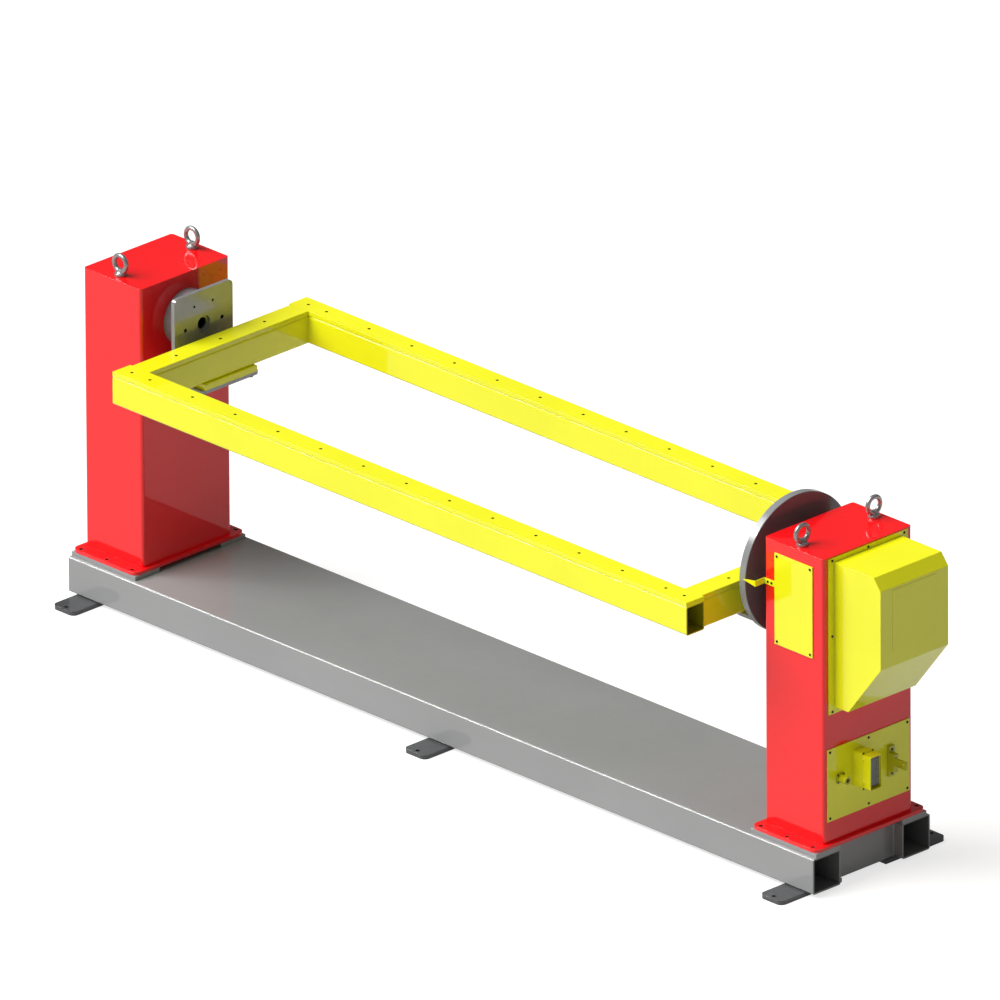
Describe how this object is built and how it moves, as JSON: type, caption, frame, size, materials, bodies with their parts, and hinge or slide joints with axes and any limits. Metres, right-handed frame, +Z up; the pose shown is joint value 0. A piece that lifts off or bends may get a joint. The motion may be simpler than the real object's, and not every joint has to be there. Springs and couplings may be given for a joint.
{
  "type": "welding positioner",
  "caption": "Headstock and tailstock welding positioner: two box columns on a long base turn a rectangular work frame about a level axis, driven by a geared motor.",
  "frame": {"origin": "on the floor, midway between the columns and between the base tubes", "axes": "+X from the tailstock to the headstock along the turning axis, +Z up"},
  "size_m": [3.67, 0.88, 1.247],
  "materials": {
    "red_paint": "glossy red enamel",
    "yellow_paint": "glossy yellow enamel",
    "grey_paint": "glossy mid-grey enamel",
    "machined_steel": "turned and ground steel",
    "bearing_steel": "ground bearing steel",
    "zinc_steel": "zinc-plated steel",
    "black_steel": "black-oxide steel",
    "motor_black": "satin black paint",
    "plate_steel": "ground steel plate",
    "connector_insert": "dark moulded insert",
    "belt_rubber": "black toothed belt"
  },
  "bodies": {
    "stand": {"access_panel": "yellow_paint", "anchor_feet": "grey_paint", "angle_pointer": "yellow_paint", "base_tube_back": "grey_paint", "base_tube_front": "grey_paint", "bearing_housing": "machined_steel", "bearing_outer_rings": "bearing_steel", "column_pads": "grey_paint", "column_screws": "black_steel", "connector_base": "yellow_paint", "connector_housing": "yellow_paint", "connector_insert": "connector_insert", "connector_panel": "yellow_paint", "cover_screws": "black_steel", "cross_members": "grey_paint", "deck_plate": "grey_paint", "drive_guard": "yellow_paint", "drive_screws": "black_steel", "earth_terminal": "yellow_paint", "end_plates": "grey_paint", "front_seal_cover": "grey_paint", "gear_housing": "grey_paint", "head_column": "red_paint", "head_column_flange": "red_paint", "housing_screws": "black_steel", "lifting_eye_head_back": "zinc_steel", "lifting_eye_head_front": "zinc_steel", "lifting_eye_tail_back": "zinc_steel", "lifting_eye_tail_front": "zinc_steel", "motor_plate": "machined_steel", "rear_cap": "grey_paint", "round_coupling": "yellow_paint", "servo_motor": "motor_black", "tail_column": "red_paint", "tail_column_flange": "red_paint", "toothed_belt": "belt_rubber"},
    "turning_frame": {"faceplate": "machined_steel", "main_spindle": "machined_steel", "bracket_screws": "black_steel", "head_bracket_plate": "plate_steel", "head_bracket_shelf": "plate_steel", "tail_bracket_plate": "plate_steel", "tail_bracket_shelf": "plate_steel", "tail_spindle": "machined_steel", "bearing_inner_rings": "bearing_steel", "lock_nut": "machined_steel", "long_rail_front": "yellow_paint", "long_rail_back": "yellow_paint", "long_bars": "yellow_paint", "cross_rail_tail": "yellow_paint", "cross_rail_head": "yellow_paint", "cross_bars": "yellow_paint", "shelf_spacers": "yellow_paint", "shelf_bolts": "black_steel"},
    "reducer_input": {"reducer_input_shaft": "machined_steel", "input_pulley": "machined_steel"},
    "motor_rotor": {"motor_shaft": "machined_steel", "motor_pulley": "machined_steel"}
  },
  "joints": [
    {"name": "spindle_turn", "type": "hinge", "parent": "stand", "child": "turning_frame", "pos_m": [0, 0, 1.002], "axis": [1, 0, 0], "continuous": true},
    {"name": "reducer_input_turn", "type": "hinge", "parent": "stand", "child": "reducer_input", "pos_m": [1.7, 0, 1.002], "axis": [1, 0, 0], "continuous": true},
    {"name": "motor_turn", "type": "hinge", "parent": "stand", "child": "motor_rotor", "pos_m": [1.7, 0, 0.74], "axis": [1, 0, 0], "continuous": true}
  ],
  "couplings": [
    {"joint": "reducer_input_turn", "follows": "spindle_turn", "ratio": 10},
    {"joint": "motor_turn", "follows": "spindle_turn", "ratio": 20}
  ]
}
